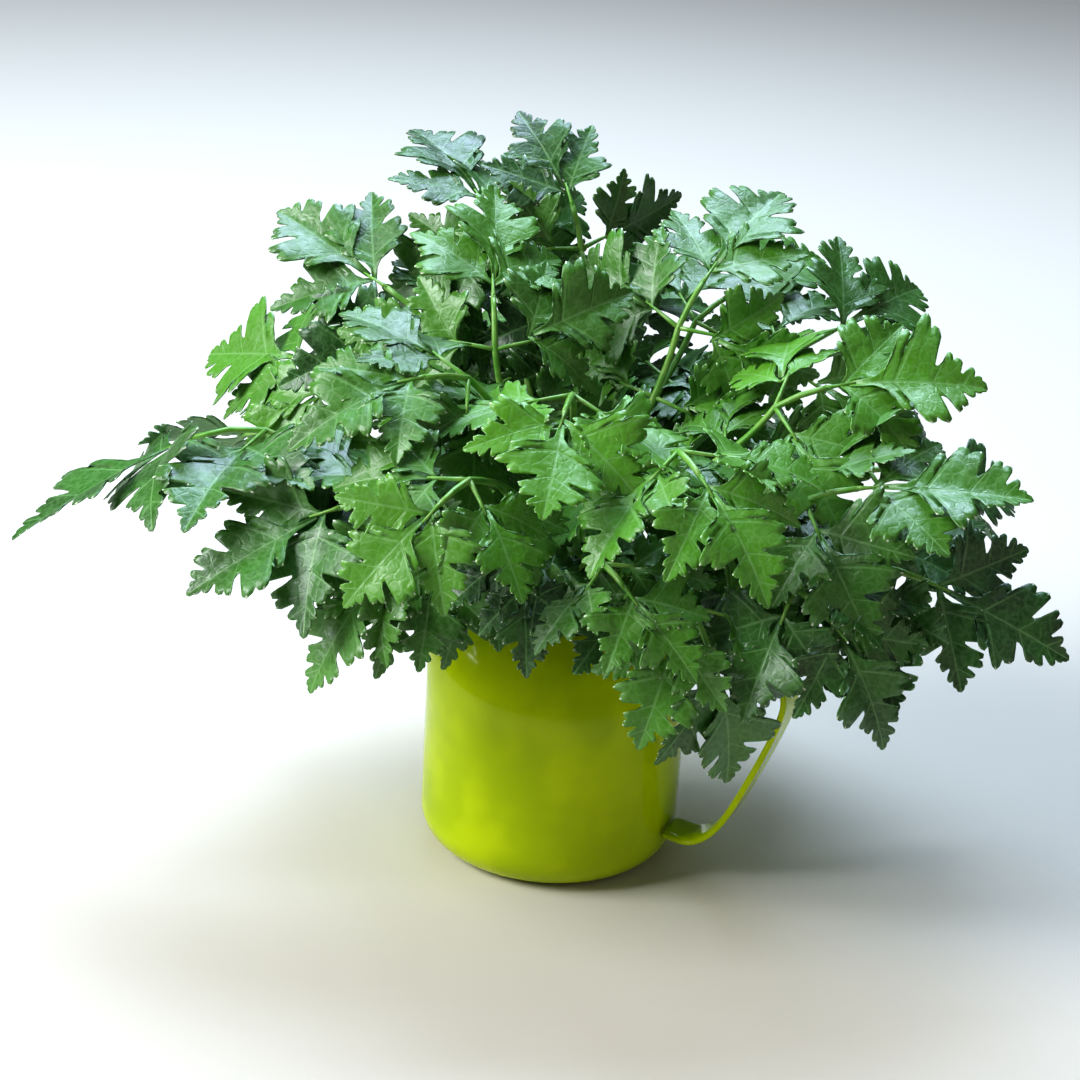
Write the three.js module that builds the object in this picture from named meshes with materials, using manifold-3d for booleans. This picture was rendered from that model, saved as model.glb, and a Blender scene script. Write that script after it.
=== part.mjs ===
// A cut bunch of flat-leaf parsley standing in an enamel mug.
// Millimetres, +Z up. The origin is the centre of the mug's base, and +X points along the mug's handle.
// Every sprig is a cut stem and its compound leaf: a rachis that carries one end pinna and two or three pairs
// of side pinnae, each a three-leaflet fan. Sprigs are placed by where their leaf forks, as seen from the
// mug's axis.
import * as THREE from "three";
import { mergeVertices } from "three/addons/utils/BufferGeometryUtils.js";
import Module from "manifold-3d";

const wasm = await Module();
wasm.setup();

const DEG = Math.PI / 180;
const GAP = 0.3; // left between pieces that touch
const GRID = 0.004; // the grid that points are set on

// ---------------------------------------------------------------- driving dimensions

const MUG = {
  height: 92,
  rimRadius: 41.5, // outside of the wall at the top
  footRadius: 41, // outside of the wall where the lower corner starts
  cornerRadius: 13,
  wall: 1.2,
  beadRadius: 1.6,
  sides: 44,
};
const HANDLE = { width: 14, thickness: 2.2, lowerHeight: 15, upperHeight: 79, reach: 76, steps: 18 };
const STEM = { radius: 1.6, neckRadius: 1.15, footHeight: 3.5, mouthRadius: 35, widestLean: 80, sides: 5 };
const LEAF = {
  rachis: 20, // from the fork to the end pinna, at size 1
  lowerNode: 27, // from the lower pair of pinnae up to the fork
  innerNode: 48, // from the inner pair of pinnae up to the fork
  innerHeight: 104, // leaves open an inner pair only above this height
  innerRoom: 6, // and only with this much stem left between it and the mug's mouth
  sheath: 4, // from the top of the stem to the lowest pair of pinnae
  thickness: 0.8,
  endSpan: 52, // length of the end pinna
  forkPair: { angle: 64, stalk: 11, span: 44 },
  lowerPair: { angle: 78, stalk: 10, span: 36 },
  innerPair: { angle: 84, stalk: 9, span: 32 },
  rachisDroop: 14,
  endDroop: 10,
  sideDroop: 0.25,
  stalkWidth: 1.8,
};
// Leaves turn their upper faces towards the window: the way to it, the share of the turn that they make, and
// the most that a blade rolls.
const WINDOW = { heading: -68, height: 40, share: 0.7, most: 48 };
const PINNA_SIZES = [1, 0.86, 0.72, 0.58, 0.45]; // tried in turn until the pinna is clear of its neighbours

// Each sprig: heading from the handle, anticlockwise; reach and height of the leaf's fork; lean of the blade
// from upright; turn of the blade from its heading; roll about its own length; and the leaf's size.
const SPRIGS = [
  { name: "far_left", heading: -155, reach: 94, height: 134, lean: 90, turn: 6, roll: 46, size: 1.12 },
  { name: "left_upper", heading: -174, reach: 74, height: 146, lean: 80, turn: -10, roll: 0, size: 0.85 },
  { name: "upper_left", heading: 174, reach: 54, height: 162, lean: 50, turn: 16, roll: 0, size: 0.9 },
  { name: "top_left", heading: 140, reach: 54, height: 181, lean: 34, turn: 24, roll: 0, size: 0.8 },
  { name: "top", heading: 114, reach: 50, height: 183, lean: 14, turn: 62, roll: 0, size: 0.72 },
  { name: "top_right", heading: 56, reach: 36, height: 168, lean: 32, turn: 10, roll: 0, size: 0.85 },
  { name: "right_top", heading: 84, reach: 79, height: 156, lean: 56, turn: -28, roll: 0, size: 0.85 },
  { name: "right_back", heading: 60, reach: 83, height: 150, lean: 58, turn: -14, roll: 6, size: 1 },
  { name: "right", heading: 4, reach: 62, height: 157, lean: 56, turn: 5, roll: -6, size: 0.85 },
  { name: "right_middle", heading: -12, reach: 82, height: 138, lean: 62, turn: 12, roll: 0, size: 0.85 },
  { name: "far_right", heading: -3, reach: 99, height: 118, lean: 88, turn: -2, roll: 0, size: 0.84 },
  { name: "right_low", heading: -22, reach: 92, height: 118, lean: 108, turn: 0, roll: 0, size: 0.75 },
  { name: "front_hanging", heading: -42, reach: 82, height: 114, lean: 138, turn: 24, roll: 0, size: 0.8 },
  { name: "front", heading: -59, reach: 70, height: 123, lean: 100, turn: 24, roll: 0, size: 0.6 },
  { name: "front_middle", heading: -80, reach: 62, height: 121, lean: 104, turn: 20, roll: 0, size: 0.5 },
  { name: "left_front", heading: -108, reach: 62, height: 119, lean: 112, turn: -14, roll: 0, size: 0.75 },
  { name: "left", heading: -120, reach: 64, height: 127, lean: 88, turn: -12, roll: 0, size: 0.92 },
  { name: "centre_left", heading: -112, reach: 46, height: 164, lean: 76, turn: -6, roll: 0, size: 0.8 },
  { name: "centre", heading: -70, reach: 36, height: 162, lean: 84, turn: -4, roll: 0, size: 0.8 },
  { name: "centre_front", heading: -90, reach: 76, height: 146, lean: 100, turn: -10, roll: 0, size: 0.7 },
  { name: "right_centre", heading: -40, reach: 64, height: 154, lean: 92, turn: -6, roll: 0, size: 0.8 },
  { name: "crown", heading: -166, reach: 26, height: 162, lean: 26, turn: -70, roll: 0, size: 0.85 },
  { name: "back_right", heading: 34, reach: 95, height: 126, lean: 88, turn: 6, roll: 0, size: 0.9 },
  { name: "back_low_right", heading: 70, reach: 90, height: 120, lean: 104, turn: -8, roll: 0, size: 0.9 },
  { name: "back", heading: 100, reach: 96, height: 126, lean: 94, turn: 8, roll: 0, size: 0.95 },
  { name: "back_low_left", heading: 136, reach: 90, height: 120, lean: 102, turn: -6, roll: 0, size: 0.9 },
  { name: "back_left", heading: 164, reach: 90, height: 126, lean: 88, turn: 8, roll: 0, size: 0.9 },
  { name: "back_upper", heading: 108, reach: 82, height: 152, lean: 60, turn: 6, roll: 0, size: 0.9 },
];

const ENAMEL_GREEN = new THREE.MeshStandardMaterial({ color: 0x8fb80c, roughness: 0.16, metalness: 0 });
const ENAMEL_BLACK = new THREE.MeshStandardMaterial({ color: 0x17131c, roughness: 0.22, metalness: 0 });
const STEM_GREEN = new THREE.MeshStandardMaterial({ color: 0x6c9c34, roughness: 0.45, metalness: 0 });
const LEAF_GREEN = new THREE.MeshStandardMaterial({ color: 0x2c7a2a, roughness: 0.42, metalness: 0 });

// ---------------------------------------------------------------- solids

// A closed geometry as a solid that can be joined, cut and tested.
function solidOf(geometry, matrix = new THREE.Matrix4()) {
  const bare = geometry.clone().applyMatrix4(matrix);
  for (const name of ["normal", "uv"]) bare.deleteAttribute(name);
  const merged = mergeVertices(bare, 1e-4);
  const vertProperties = new Float32Array(merged.attributes.position.array);
  const triVerts = new Uint32Array(merged.index.array);
  return new wasm.Manifold(new wasm.Mesh({ numProp: 3, vertProperties, triVerts }));
}

// The mesh of a solid, as a named node. Its points are set on a fine grid, and the slivers that this closes
// are dropped.
function nodeOf(name, solid, material) {
  const mesh = solid.getMesh();
  const snapped = Float32Array.from(mesh.vertProperties, (value) => Math.round(value / GRID) * GRID);
  const raw = new THREE.BufferGeometry();
  raw.setAttribute("position", new THREE.BufferAttribute(snapped, 3));
  raw.setIndex(new THREE.BufferAttribute(new Uint32Array(mesh.triVerts), 1));
  const geometry = mergeVertices(raw, GRID / 4);
  const corners = Array.from(geometry.index.array);
  const kept = [];
  for (let i = 0; i < corners.length; i += 3) {
    const triangle = corners.slice(i, i + 3);
    if (new Set(triangle).size === 3) kept.push(...triangle);
  }
  geometry.setIndex(kept);
  geometry.computeVertexNormals();
  const node = new THREE.Mesh(geometry, material);
  node.name = name;
  return node;
}

// A regular polygon of the given outer radius, as the section of a stem or stalk.
function section(radius, sides) {
  const points = [];
  for (let i = 0; i < sides; i++) {
    const angle = (i / sides) * 2 * Math.PI;
    points.push(new THREE.Vector2(radius * Math.cos(angle), radius * Math.sin(angle)));
  }
  return new THREE.Shape(points);
}

// A solid tube through points.
function tube(points, radius, sides, steps) {
  const extrudePath = new THREE.CatmullRomCurve3(points);
  const round = section(radius, sides);
  return solidOf(new THREE.ExtrudeGeometry(round, { steps, extrudePath, bevelEnabled: false }));
}

// ---------------------------------------------------------------- mug

// The points of an arc in the (radius, height) plane, from one angle to another.
function arc(centreRadius, centreHeight, radius, from, to, steps) {
  const points = [];
  for (let i = 0; i <= steps; i++) {
    const angle = (from + ((to - from) * i) / steps) * DEG;
    points.push(
      new THREE.Vector2(centreRadius + radius * Math.cos(angle), centreHeight + radius * Math.sin(angle)),
    );
  }
  return points;
}

// A body of revolution about +Z. LatheGeometry turns about Y, so it is stood up.
function lathe(profile) {
  const geometry = new THREE.LatheGeometry(profile, MUG.sides);
  return solidOf(geometry, new THREE.Matrix4().makeRotationX(Math.PI / 2));
}

function mugBody() {
  const { footRadius, rimRadius, cornerRadius, wall, height, beadRadius } = MUG;
  const wallTop = height - 2 * beadRadius - GAP;
  const corner = footRadius - cornerRadius;
  const profile = [
    new THREE.Vector2(0, 0),
    ...arc(corner, cornerRadius, cornerRadius, -90, 0, 5),
    new THREE.Vector2(rimRadius, wallTop),
    new THREE.Vector2(rimRadius - wall, wallTop),
    ...arc(corner, cornerRadius, cornerRadius - wall, 0, -90, 5),
    new THREE.Vector2(0, wall),
  ];
  return lathe(profile);
}

function mugRim() {
  const { rimRadius, height, beadRadius, wall } = MUG;
  const centre = rimRadius - wall / 2;
  const profile = arc(centre, height - beadRadius, beadRadius, 0, 360, 8);
  profile[profile.length - 1].copy(profile[0]);
  return lathe(profile);
}

// A flat strap, bent in the plane of the handle, whose ends butt against the wall.
function mugHandle() {
  const { width, thickness, lowerHeight, upperHeight, reach, steps } = HANDLE;
  const wallRadius = MUG.rimRadius + GAP;
  const rise = upperHeight - lowerHeight;
  const bend = reach - wallRadius;
  const points = [
    [0, 0],
    [0.28, 0],
    [0.52, 0.12],
    [0.78, 0.42],
    [0.97, 0.7],
    [1, 0.86],
    [0.82, 1],
    [0.45, 1.03],
    [0, 1],
  ].map(([out, up]) => new THREE.Vector3(wallRadius + out * bend, 0, lowerHeight + up * rise));
  const shape = new THREE.Shape([
    new THREE.Vector2(-width / 2, -thickness / 2),
    new THREE.Vector2(width / 2, -thickness / 2),
    new THREE.Vector2(width / 2, thickness / 2),
    new THREE.Vector2(-width / 2, thickness / 2),
  ]);
  const extrudePath = new THREE.CatmullRomCurve3(points);
  return solidOf(new THREE.ExtrudeGeometry(shape, { steps, extrudePath, bevelEnabled: false }));
}

// ---------------------------------------------------------------- sprigs

const UP = new THREE.Vector3(0, 0, 1);

// The direction at an angle from upright, leaning towards a heading.
function leaning(heading, lean) {
  const across = Math.sin(lean * DEG);
  return new THREE.Vector3(
    across * Math.cos(heading * DEG),
    across * Math.sin(heading * DEG),
    Math.cos(lean * DEG),
  );
}

// A point at a radius from the mug's axis and a height, on a heading.
function onHeading(heading, radius, height) {
  return new THREE.Vector3(radius * Math.cos(heading * DEG), radius * Math.sin(heading * DEG), height);
}

// The stem's line from its cut foot to the leaf's fork: straight inside the mug, then one smooth bend.
function stemLine(sprig) {
  const { heading, reach, height, lean, turn } = sprig;
  const mouthHeight = MUG.height + 2;
  const polar = Math.atan2(reach, height - MUG.height) / DEG;
  const mouthRadius = STEM.mouthRadius * Math.min(1, polar / STEM.widestLean);
  const foot = onHeading(heading, 0.62 * mouthRadius, STEM.footHeight);
  const mouth = onHeading(heading, mouthRadius, mouthHeight);
  const fork = onHeading(heading, reach, height);
  const span = mouth.distanceTo(fork);
  const rise = mouth.clone().sub(foot).normalize();
  const arrival = leaning(heading + 0.5 * turn, Math.max(12, lean - 26));
  const bend = new THREE.CubicBezierCurve3(
    mouth,
    mouth.clone().addScaledVector(rise, 0.42 * span),
    fork.clone().addScaledVector(arrival, -0.38 * span),
    fork,
  );
  return { foot, mouth, bend };
}

// The blade's own axes at the fork: along the rachis, and out of the upper face, rolled towards the window.
function bladeAxes(sprig) {
  const along = leaning(sprig.heading + sprig.turn, sprig.lean);
  const level = new THREE.Vector3().crossVectors(UP, along).normalize();
  const face = new THREE.Vector3().crossVectors(along, level);
  const light = leaning(WINDOW.heading, 90 - WINDOW.height);
  const offset = Math.atan2(-light.dot(level), light.dot(face)) / DEG;
  const turned = THREE.MathUtils.clamp(WINDOW.share * offset, -WINDOW.most, WINDOW.most);
  face.applyAxisAngle(along, (turned + sprig.roll) * DEG);
  return { along, face };
}

// A pinna's place: where its fan opens from its stalk, the way it points, its upper face and its length.
function pinnaPlace(root, along, face, stalk, span, droop) {
  const way = along.clone().addScaledVector(UP, -droop).normalize();
  const upper = face.clone().addScaledVector(way, -face.dot(way)).normalize();
  return { way, upper, stalk, span, base: root.clone().addScaledVector(way, stalk) };
}

// The pinnae of a leaf, outermost first: the end one, then the pairs at the fork, the lower node and the
// inner node.
function pinnae(sprig, axis) {
  const { along, face } = bladeAxes(sprig);
  const size = sprig.size;
  const side = new THREE.Vector3().crossVectors(face, along);
  const bent = along.clone().applyAxisAngle(side, (LEAF.rachisDroop + LEAF.endDroop) * DEG);
  const bentFace = face.clone().applyAxisAngle(side, (LEAF.rachisDroop + LEAF.endDroop) * DEG);
  const places = [pinnaPlace(axis.tip, bent, bentFace, 2, LEAF.endSpan * size, 0)];
  const pairs = [
    [axis.fork, LEAF.forkPair],
    [axis.node, LEAF.lowerPair],
  ];
  if (axis.inner) pairs.push([axis.inner, LEAF.innerPair]);
  for (const [root, { angle, stalk, span }] of pairs) {
    for (const hand of [1, -1]) {
      const way = along.clone().applyAxisAngle(face, hand * angle * DEG);
      places.push(pinnaPlace(root, way, face, stalk * size, span * size, LEAF.sideDroop));
    }
  }
  return places;
}

// The line of a sprig from foot to end pinna, with its inner node where it has one, lower node, fork and tip.
function sprigAxis(sprig) {
  const { foot, mouth, bend } = stemLine(sprig);
  const { along, face } = bladeAxes(sprig);
  const side = new THREE.Vector3().crossVectors(face, along);
  const drooped = along.clone().applyAxisAngle(side, LEAF.rachisDroop * DEG);
  const fork = bend.getPoint(1);
  const reach = LEAF.rachis * sprig.size;
  const middle = fork.clone().addScaledVector(along, 0.5 * reach);
  const tip = middle.clone().addScaledVector(drooped, 0.5 * reach);
  const length = bend.getLength();
  const nodeAt = 1 - Math.min(0.6, (LEAF.lowerNode * sprig.size) / length);
  const node = bend.getPointAt(nodeAt);
  const innerAt = 1 - (LEAF.innerNode * sprig.size) / length;
  const roomy = innerAt * length > LEAF.innerRoom && bend.getPointAt(innerAt).z > LEAF.innerHeight;
  const inner = roomy ? bend.getPointAt(innerAt) : null;
  const lowestAt = roomy ? innerAt : nodeAt;
  const joint = lowestAt - LEAF.sheath / length;
  const stem = [foot, foot.clone().lerp(mouth, 0.5), mouth];
  for (const share of [0.25, 0.5, 0.75, 1]) stem.push(bend.getPointAt(share * joint));
  const start = bend.getPointAt(joint + (2 * GAP) / length);
  const lower = roomy ? [inner, bend.getPointAt(0.5 * (innerAt + nodeAt))] : [];
  const rachis = [start, ...lower, node, bend.getPointAt(0.5 * (nodeAt + 1)), fork, middle, tip];
  return { stem, rachis, inner, node, fork, tip };
}

// One half of a pinna's outline seen from above, pointing along +X, as a share of its length: from the end of
// its stalk round the side leaflet to the end leaflet's shoulder.
const FAN_HALF = [
  [0.1, 0.5],
  [0.42, 0.64],
  [0.44, 0.26],
  [0.7, 0.33],
];

// A pinna and its stalk as one flat plate. The swell makes it larger all round, to keep a gap when it is
// tested.
function pinnaSolid(place, size, swell) {
  const span = place.span * size + swell;
  const half = [
    new THREE.Vector2(-place.stalk, LEAF.stalkWidth / 2 + swell),
    new THREE.Vector2(0, LEAF.stalkWidth / 2 + swell),
    ...FAN_HALF.map(([x, y]) => new THREE.Vector2(x * span, y * span + swell)),
  ];
  const mirrored = half.map((p) => new THREE.Vector2(p.x, -p.y)).reverse();
  const shape = new THREE.Shape([...half, new THREE.Vector2(span, 0), ...mirrored].reverse());
  const depth = LEAF.thickness + 2 * swell;
  const geometry = new THREE.ExtrudeGeometry(shape, { depth, bevelEnabled: false });
  geometry.translate(0, 0, -depth / 2);
  const side = new THREE.Vector3().crossVectors(place.upper, place.way);
  const matrix = new THREE.Matrix4().makeBasis(place.way, side, place.upper).setPosition(place.base);
  return solidOf(geometry, matrix);
}

// ---------------------------------------------------------------- arranging the bunch

const placed = []; // what already stands in the mug: { owner, solid, box }

function stand(owner, solid) {
  placed.push({ owner, solid, box: solid.boundingBox() });
}

function boxesMeet(a, b) {
  return [0, 1, 2].every((i) => a.min[i] <= b.max[i] && b.min[i] <= a.max[i]);
}

// Whether a solid is clear of every piece that belongs to another sprig or to the mug.
function isClear(owner, solid) {
  const box = solid.boundingBox();
  return placed.every(
    (other) => other.owner === owner || !boxesMeet(box, other.box) || solid.intersect(other.solid).isEmpty(),
  );
}

const group = new THREE.Group();
group.name = "parsley_bunch";

const mugPieces = [
  ["mug_body", mugBody(), ENAMEL_GREEN],
  ["mug_rim", mugRim(), ENAMEL_BLACK],
  ["mug_handle", mugHandle(), ENAMEL_GREEN],
];
for (const [name, solid, material] of mugPieces) {
  stand("mug", solid);
  group.add(nodeOf(name, solid, material));
}

// Every stem and rachis stands before any pinna opens, so a pinna can only be stopped by them.
const grown = SPRIGS.map((sprig) => {
  const axis = sprigAxis(sprig);
  const stem = tube(axis.stem, STEM.radius, STEM.sides, axis.stem.length);
  const rachis = tube(axis.rachis, STEM.neckRadius, STEM.sides, axis.rachis.length - 1);
  for (const solid of [stem, rachis]) {
    if (!isClear(sprig.name, solid)) throw new Error(`the stem of ${sprig.name} meets a neighbour`);
  }
  stand(`stem of ${sprig.name}`, stem);
  stand(sprig.name, rachis);
  return { sprig, stem, leaf: rachis, places: pinnae(sprig, axis) };
});

// Each pinna takes the largest size that is clear of its neighbours, the outermost pinnae first.
const ranks = Math.max(...grown.map((plant) => plant.places.length));
for (let rank = 0; rank < ranks; rank++) {
  for (const plant of grown) {
    const place = plant.places[rank];
    if (!place) continue;
    const owner = plant.sprig.name;
    const size = PINNA_SIZES.find((share) => isClear(owner, pinnaSolid(place, share, GAP)));
    if (!size) continue;
    const pinna = pinnaSolid(place, size, 0);
    plant.leaf = plant.leaf.add(pinna);
    stand(owner, pinna);
  }
}

for (const { sprig, stem, leaf } of grown) {
  group.add(nodeOf(`stem_${sprig.name}`, stem, STEM_GREEN));
  group.add(nodeOf(`leaf_${sprig.name}`, leaf, LEAF_GREEN));
}

export default group;
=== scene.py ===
"""A cut bunch of flat-leaf parsley standing in a lime green enamel mug with a black rim.

The origin is the centre of the mug's base, +Z is up and +X points along the mug's handle. Sizes are
written in millimetres and become metres where a mesh is made.
"""

import logging
import math
import random
from dataclasses import dataclass
from enum import Enum
from typing import Any, Callable, Sequence

import bmesh
import bpy
from mathutils import Matrix, Vector


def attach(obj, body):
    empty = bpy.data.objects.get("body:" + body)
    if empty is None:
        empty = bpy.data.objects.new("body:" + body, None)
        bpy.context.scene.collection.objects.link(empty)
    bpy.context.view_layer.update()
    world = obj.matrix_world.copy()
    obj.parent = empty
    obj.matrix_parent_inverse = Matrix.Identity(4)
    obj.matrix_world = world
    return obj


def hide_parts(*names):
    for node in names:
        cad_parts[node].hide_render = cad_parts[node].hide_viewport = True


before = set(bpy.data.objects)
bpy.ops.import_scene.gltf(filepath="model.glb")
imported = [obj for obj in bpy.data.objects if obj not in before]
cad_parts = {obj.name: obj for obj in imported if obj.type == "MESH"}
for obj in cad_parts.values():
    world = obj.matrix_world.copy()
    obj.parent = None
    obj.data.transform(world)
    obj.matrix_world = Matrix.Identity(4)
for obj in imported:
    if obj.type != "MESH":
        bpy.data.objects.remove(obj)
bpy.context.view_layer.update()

LOG = logging.getLogger("parsley")
MM = 0.001
UP = Vector((0.0, 0.0, 1.0))
MERGE = 1e-4  # points nearer than this, in millimetres, are one point


class Slot(str, Enum):
    """The record's material slots."""

    LIME = "lime_enamel"
    BLACK = "black_enamel"
    STEM = "stem"
    LEAF = "leaf"


# ---------------------------------------------------------------- small helpers


def linear(hex_colour: str) -> tuple[float, float, float, float]:
    """Turns an sRGB colour into the linear one that shaders use.

    Args:
        hex_colour: Six hex digits.

    Returns:
        Red, green, blue and an alpha of 1.
    """
    channels = []
    for i in (0, 2, 4):
        value = int(hex_colour[i : i + 2], 16) / 255
        channels.append(value / 12.92 if value <= 0.04045 else ((value + 0.055) / 1.055) ** 2.4)
    return (channels[0], channels[1], channels[2], 1.0)


def leaning(heading: float, lean: float) -> Vector:
    """The direction at an angle from upright, towards a heading.

    Args:
        heading: Degrees anticlockwise from +X.
        lean: Degrees from upright.

    Returns:
        A unit vector.
    """
    across = math.sin(math.radians(lean))
    turn = math.radians(heading)
    return Vector((across * math.cos(turn), across * math.sin(turn), math.cos(math.radians(lean))))


def on_heading(heading: float, radius: float, height: float) -> Vector:
    """A point on a heading, at a radius from the mug's axis and a height above its base."""
    turn = math.radians(heading)
    return Vector((radius * math.cos(turn), radius * math.sin(turn), height))


def turned(vector: Vector, axis: Vector, degrees: float) -> Vector:
    """A vector turned about an axis by the right-hand rule."""
    return Matrix.Rotation(math.radians(degrees), 3, axis) @ vector


def mix(a: float, b: float, share: float) -> float:
    """The value a share of the way from a to b."""
    return a + (b - a) * share


def held(value: float) -> float:
    """A value held between 0 and 1."""
    return min(1.0, max(0.0, value))


def piece(name: str, bm: bmesh.types.BMesh, materials: Sequence[bpy.types.Material]) -> bpy.types.Object:
    """Makes an object of a finished bmesh, whose points are in millimetres.

    Args:
        name: The piece's name.
        bm: The shape. It is freed.
        materials: The materials in the order of the faces' material index.

    Returns:
        The object, at the origin, unturned and unscaled.
    """
    bmesh.ops.scale(bm, vec=(MM, MM, MM), verts=bm.verts)
    mesh = bpy.data.meshes.new(name)
    bm.to_mesh(mesh)
    bm.free()
    for material in materials:
        mesh.materials.append(material)
    mesh.polygons.foreach_set("use_smooth", [True] * len(mesh.polygons))
    made = bpy.data.objects.new(name, mesh)
    bpy.context.scene.collection.objects.link(made)
    return made


def deliver(made: bpy.types.Object, slot: Slot, *nodes: str) -> None:
    """Hands a finished piece to the frame: it rides the root body and stands for CAD nodes."""
    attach(made, "root")
    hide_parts(*nodes)


def lay_grid(
    bm: bmesh.types.BMesh, across: int, along: int, place: Callable[[float, float], Vector]
) -> list[bmesh.types.BMVert]:
    """Lays a grid over a surface.

    Args:
        bm: The bmesh to add to.
        across: Cells in the first direction.
        along: Cells in the second direction.
        place: Takes two shares from 0 to 1 and gives the point there.

    Returns:
        The new vertices.
    """
    made = bmesh.ops.create_grid(bm, x_segments=across, y_segments=along, size=1.0)["verts"]
    for vert in made:
        u = round((vert.co.x + 1) / 2 * across) / across
        v = round((vert.co.y + 1) / 2 * along) / along
        vert.co = place(u, v)
    return made


def closed_tube(
    bm: bmesh.types.BMesh,
    path: Sequence[Vector],
    radius: Callable[[float], float],
    sides: int,
    ribs: float = 0.0,
) -> None:
    """A round rod along a path, closed to a point at each end.

    Args:
        bm: The bmesh to add to.
        path: The points of its middle line.
        radius: Its radius at a share of its length.
        sides: Points round it.
        ribs: How far its five lengthwise ribs stand out, as a share of the radius.
    """
    tangents = []
    for i in range(len(path)):
        tangents.append((path[min(i + 1, len(path) - 1)] - path[max(i - 1, 0)]).normalized())
    normals = [tangents[0].orthogonal().normalized()]
    for i in range(1, len(path)):
        swing = tangents[i - 1].rotation_difference(tangents[i])
        normals.append((swing @ normals[-1]).normalized())
    last = len(path) - 1

    def place(u: float, v: float) -> Vector:
        """The rod's point at a share round it and a share along it."""
        row = round(v * (last + 2)) - 1
        end = row < 0 or row > last
        i = min(max(row, 0), last)
        size = 0.0 if end else radius(i / last)
        angle = 2 * math.pi * u
        bulge = 1 + ribs * math.cos(5 * angle)
        side = tangents[i].cross(normals[i])
        return path[i] + (normals[i] * math.cos(angle) + side * math.sin(angle)) * size * bulge

    verts = lay_grid(bm, sides, last + 2, place)
    bmesh.ops.remove_doubles(bm, verts=verts, dist=MERGE)


def outward(bm: bmesh.types.BMesh) -> None:
    """Turns every face of closed shells outwards."""
    bmesh.ops.recalc_face_normals(bm, faces=bm.faces)


# ---------------------------------------------------------------- finishes


class Shader:
    """A node material in the making."""

    def __init__(self, name: str) -> None:
        """Starts an empty material of that name."""
        self.material = bpy.data.materials.new(name)
        self.material.use_nodes = True
        self.tree = self.material.node_tree
        self.tree.nodes.clear()
        self.output = self.tree.nodes.new("ShaderNodeOutputMaterial")

    def add(
        self,
        kind: str,
        links: dict[Any, Any] | None = None,
        inputs: dict[Any, Any] | None = None,
        **settings: Any,
    ) -> bpy.types.Node:
        """Adds a node.

        Args:
            kind: The node's type, without its ShaderNode prefix.
            links: Input name or number to the output socket that feeds it.
            inputs: Input name or number to its plain value.
            **settings: The node's own properties.

        Returns:
            The node.
        """
        node = self.tree.nodes.new("ShaderNode" + kind)
        for key, value in settings.items():
            setattr(node, key, value)
        for key, value in (inputs or {}).items():
            node.inputs[key].default_value = value
        for key, socket in (links or {}).items():
            self.tree.links.new(socket, node.inputs[key])
        return node

    def place(self) -> bpy.types.NodeSocket:
        """Object coordinates, in metres."""
        return self.add("TexCoord").outputs["Object"]

    def noise(self, grain_mm: float, detail: float = 3.0, rough: float = 0.55) -> bpy.types.NodeSocket:
        """Soft noise whose patches are about a size in millimetres."""
        inputs = {"Scale": 1000 / grain_mm, "Detail": detail, "Roughness": rough}
        return self.add("TexNoise", {"Vector": self.place()}, inputs).outputs["Fac"]

    def span(
        self, value: Any, low: float, high: float, to_low: float = 0.0, to_high: float = 1.0
    ) -> bpy.types.NodeSocket:
        """Moves a value from one range to another, smoothly and held at the ends."""
        inputs = {"From Min": low, "From Max": high, "To Min": to_low, "To Max": to_high}
        node = self.add("MapRange", {"Value": value}, inputs, interpolation_type="SMOOTHSTEP")
        return node.outputs["Result"]

    def math(self, operation: str, first: Any, second: Any = None) -> bpy.types.NodeSocket:
        """One sum of two sockets or numbers."""
        node = self.add("Math", operation=operation)
        for i, term in enumerate((first, second)):
            if term is None:
                continue
            if isinstance(term, (int, float)):
                node.inputs[i].default_value = term
            else:
                self.tree.links.new(term, node.inputs[i])
        return node.outputs["Value"]

    def blend(self, share: Any, first: Any, second: Any) -> bpy.types.NodeSocket:
        """A colour a share of the way from the first to the second."""
        node = self.add("Mix", data_type="RGBA")
        for key, term in ((0, share), (6, first), (7, second)):
            if isinstance(term, bpy.types.NodeSocket):
                self.tree.links.new(term, node.inputs[key])
            else:
                node.inputs[key].default_value = term
        return node.outputs[2]

    def bump(
        self, height: bpy.types.NodeSocket, depth_mm: float, strength: float = 1.0
    ) -> bpy.types.NodeSocket:
        """A surface relief of a depth in millimetres."""
        inputs = {"Distance": depth_mm * MM, "Strength": strength}
        return self.add("Bump", {"Height": height}, inputs).outputs["Normal"]

    def finish(self, surface: bpy.types.NodeSocket) -> bpy.types.Material:
        """Joins the surface to the output and gives the material."""
        self.tree.links.new(surface, self.output.inputs["Surface"])
        return self.material


@dataclass(frozen=True)
class Enamel:
    """Fired glass enamel on pressed steel: deep colour under a smooth gloss, with a faint orange peel."""

    name: str
    colour: str
    shade: str
    roughness: float = 0.09

    CLOUD_MM = 26.0
    SMEAR_MM = 7.0
    PEEL_MM = 2.4
    PEEL_DEPTH = 0.025
    GLAZE = {"IOR": 1.38, "Specular IOR Level": 0.2, "Coat Weight": 0.03, "Coat Roughness": 0.03}

    def material(self) -> bpy.types.Material:
        """Makes the node material."""
        shader = Shader(self.name)
        cloud = shader.span(shader.noise(self.CLOUD_MM, 2.0), 0.38, 0.62)
        peel = shader.bump(shader.noise(self.PEEL_MM, 2.0), self.PEEL_DEPTH, 0.5)
        colour = shader.blend(cloud, linear(self.colour), linear(self.shade))
        smear = shader.noise(self.SMEAR_MM)
        rough = shader.span(smear, 0.35, 0.65, self.roughness * 0.8, self.roughness * 1.3)
        surface = shader.add(
            "BsdfPrincipled", {"Base Color": colour, "Roughness": rough, "Normal": peel}, self.GLAZE
        )
        return shader.finish(surface.outputs["BSDF"])


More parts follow.
